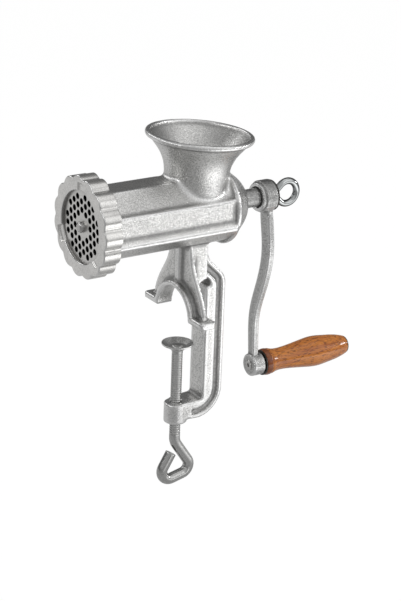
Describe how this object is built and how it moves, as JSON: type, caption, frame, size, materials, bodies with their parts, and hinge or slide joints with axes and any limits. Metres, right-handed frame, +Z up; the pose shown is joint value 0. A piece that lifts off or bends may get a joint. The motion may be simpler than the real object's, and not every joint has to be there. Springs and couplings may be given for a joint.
{
  "type": "manual meat grinder",
  "caption": "Table-clamped hand meat grinder: cast barrel with bell hopper, scalloped ring nut, hole plate, crank with wooden grip and C-clamp screw.",
  "frame": {"origin": "on the clamp screw's axis, in the plane of the two jaw feet that rest on the table top", "axes": "+X to the grinder's side, +Y along the barrel from the mouth to the crank, +Z up"},
  "size_m": [0.086, 0.2687, 0.299],
  "materials": {
    "cast_aluminium": "tumbled casting",
    "plate_steel": "ground",
    "zinc_steel": "zinc plated",
    "dark_steel": "blackened",
    "bush_brass": "turned",
    "varnished_wood": "varnished"
  },
  "bodies": {
    "frame": {"grinder_casting": "cast_aluminium", "rear_bush": "bush_brass", "thrust_washer": "plate_steel", "plate_key": "plate_steel"},
    "drive": {"feed_screw": "cast_aluminium", "knife_stud": "plate_steel", "cross_knife": "plate_steel", "crank_arm": "cast_aluminium", "grip_axle": "plate_steel", "grip_washer": "dark_steel", "grip_end_cap": "dark_steel"},
    "grip": {"wooden_grip": "varnished_wood"},
    "crank_lock_washer": {"crank_washer": "dark_steel"},
    "crank_lock_screw": {"crank_eye_screw": "zinc_steel"},
    "plate": {"hole_plate": "plate_steel"},
    "nut": {"ring_nut": "cast_aluminium"},
    "pad": {"clamp_pad": "zinc_steel"},
    "screw": {"clamp_screw": "zinc_steel"}
  },
  "joints": [
    {"name": "crank_turn", "type": "hinge", "parent": "frame", "child": "drive", "pos_m": [0, 0.06, 0.0855], "axis": [0, 1, 0], "continuous": true},
    {"name": "grip_spin", "type": "hinge", "parent": "drive", "child": "grip", "pos_m": [-0.00916, 0.13, -0.06422], "axis": [0, 1, 0], "continuous": true},
    {"name": "lock_travel", "type": "slide", "parent": "drive", "child": "crank_lock_washer", "axis": [0, 1, 0], "range_m": [0, 0.008]},
    {"name": "lock_turn", "type": "hinge", "parent": "crank_lock_washer", "child": "crank_lock_screw", "pos_m": [0, 0.09, 0.0855], "axis": [0, 1, 0], "range_deg": [0, 2880]},
    {"name": "plate_travel", "type": "slide", "parent": "frame", "child": "plate", "axis": [0, -1, 0], "range_m": [0, 0.012]},
    {"name": "nut_turn", "type": "hinge", "parent": "plate", "child": "nut", "pos_m": [0, -0.085, 0.0855], "axis": [0, -1, 0], "range_deg": [0, 1440]},
    {"name": "pad_travel", "type": "slide", "parent": "frame", "child": "pad", "axis": [0, 0, 1], "range_m": [-0.044, 0.013]},
    {"name": "screw_turn", "type": "hinge", "parent": "pad", "child": "screw", "pos_m": [0, 0, -0.06], "axis": [0, 0, 1], "range_deg": [-7920, 2340]}
  ],
  "couplings": [
    {"joint": "lock_turn", "follows": "lock_travel", "rad_per_m": 6283.2},
    {"joint": "nut_turn", "follows": "plate_travel", "rad_per_m": 2094.4},
    {"joint": "screw_turn", "follows": "pad_travel", "rad_per_m": 3141.6}
  ]
}
